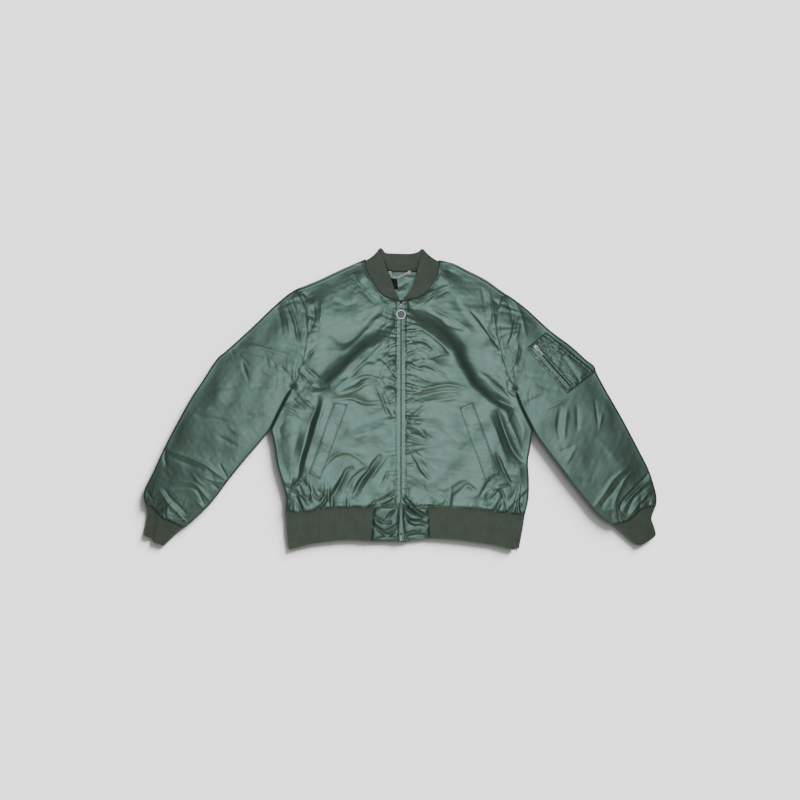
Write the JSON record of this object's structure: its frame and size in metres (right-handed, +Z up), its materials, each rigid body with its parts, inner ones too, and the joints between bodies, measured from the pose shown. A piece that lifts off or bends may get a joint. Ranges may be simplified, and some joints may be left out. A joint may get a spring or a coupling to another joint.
{
  "type": "bomber jacket",
  "caption": "Padded satin bomber jacket laid flat and zipped up, with knit collar, cuffs and waistband, slanted welt pockets and a utility pocket on the left sleeve.",
  "frame": {"origin": "centre of the bounding box at the surface that the jacket lies on", "axes": "+X towards the wearer's left sleeve, +Y towards the collar, +Z up out of the front"},
  "size_m": [1.2061, 0.709, 0.0297],
  "materials": {
    "satin": "smooth nylon satin, sage green",
    "knit": "fine rib knit, dark olive",
    "lining": "smooth satin lining, sage green",
    "tape": "woven zip tape, dark green",
    "metal": "dull silver-coloured metal",
    "label": "plain dark woven label"
  },
  "bodies": {
    "garment": {"back": "satin", "collar": "knit", "cuff_left": "knit", "cuff_right": "knit", "front_left": "satin", "front_right": "satin", "hanger_chain": "metal", "hem_block_left": "satin", "hem_block_right": "satin", "neck_binding": "satin", "neck_label": "label", "neck_lining": "lining", "pen_pocket": "satin", "pocket_slider": "metal", "pocket_tab": "satin", "pocket_zip_tape": "tape", "rib_back": "knit", "rib_front_left": "knit", "rib_front_right": "knit", "sleeve_left": "satin", "sleeve_pocket": "satin", "sleeve_right": "satin", "welt_left": "satin", "welt_right": "satin", "zip_slider": "metal", "zip_stop": "metal", "zip_tape_left": "tape", "zip_tape_right": "tape"},
    "zip_pull": {"zip_pull": "metal"},
    "pocket_pull": {"pocket_pull": "metal"}
  },
  "joints": [
    {"name": "zip_pull_swing", "type": "hinge", "parent": "garment", "child": "zip_pull", "pos_m": [0.0024, 0.215, 0.0186], "axis": [-1, 0, 0], "range_deg": [0, 140]},
    {"name": "pocket_pull_swing", "type": "hinge", "parent": "garment", "child": "pocket_pull", "pos_m": [0.32, 0.1193, 0.0257], "axis": [-0.7448, -0.6672, 0], "range_deg": [0, 120]}
  ]
}
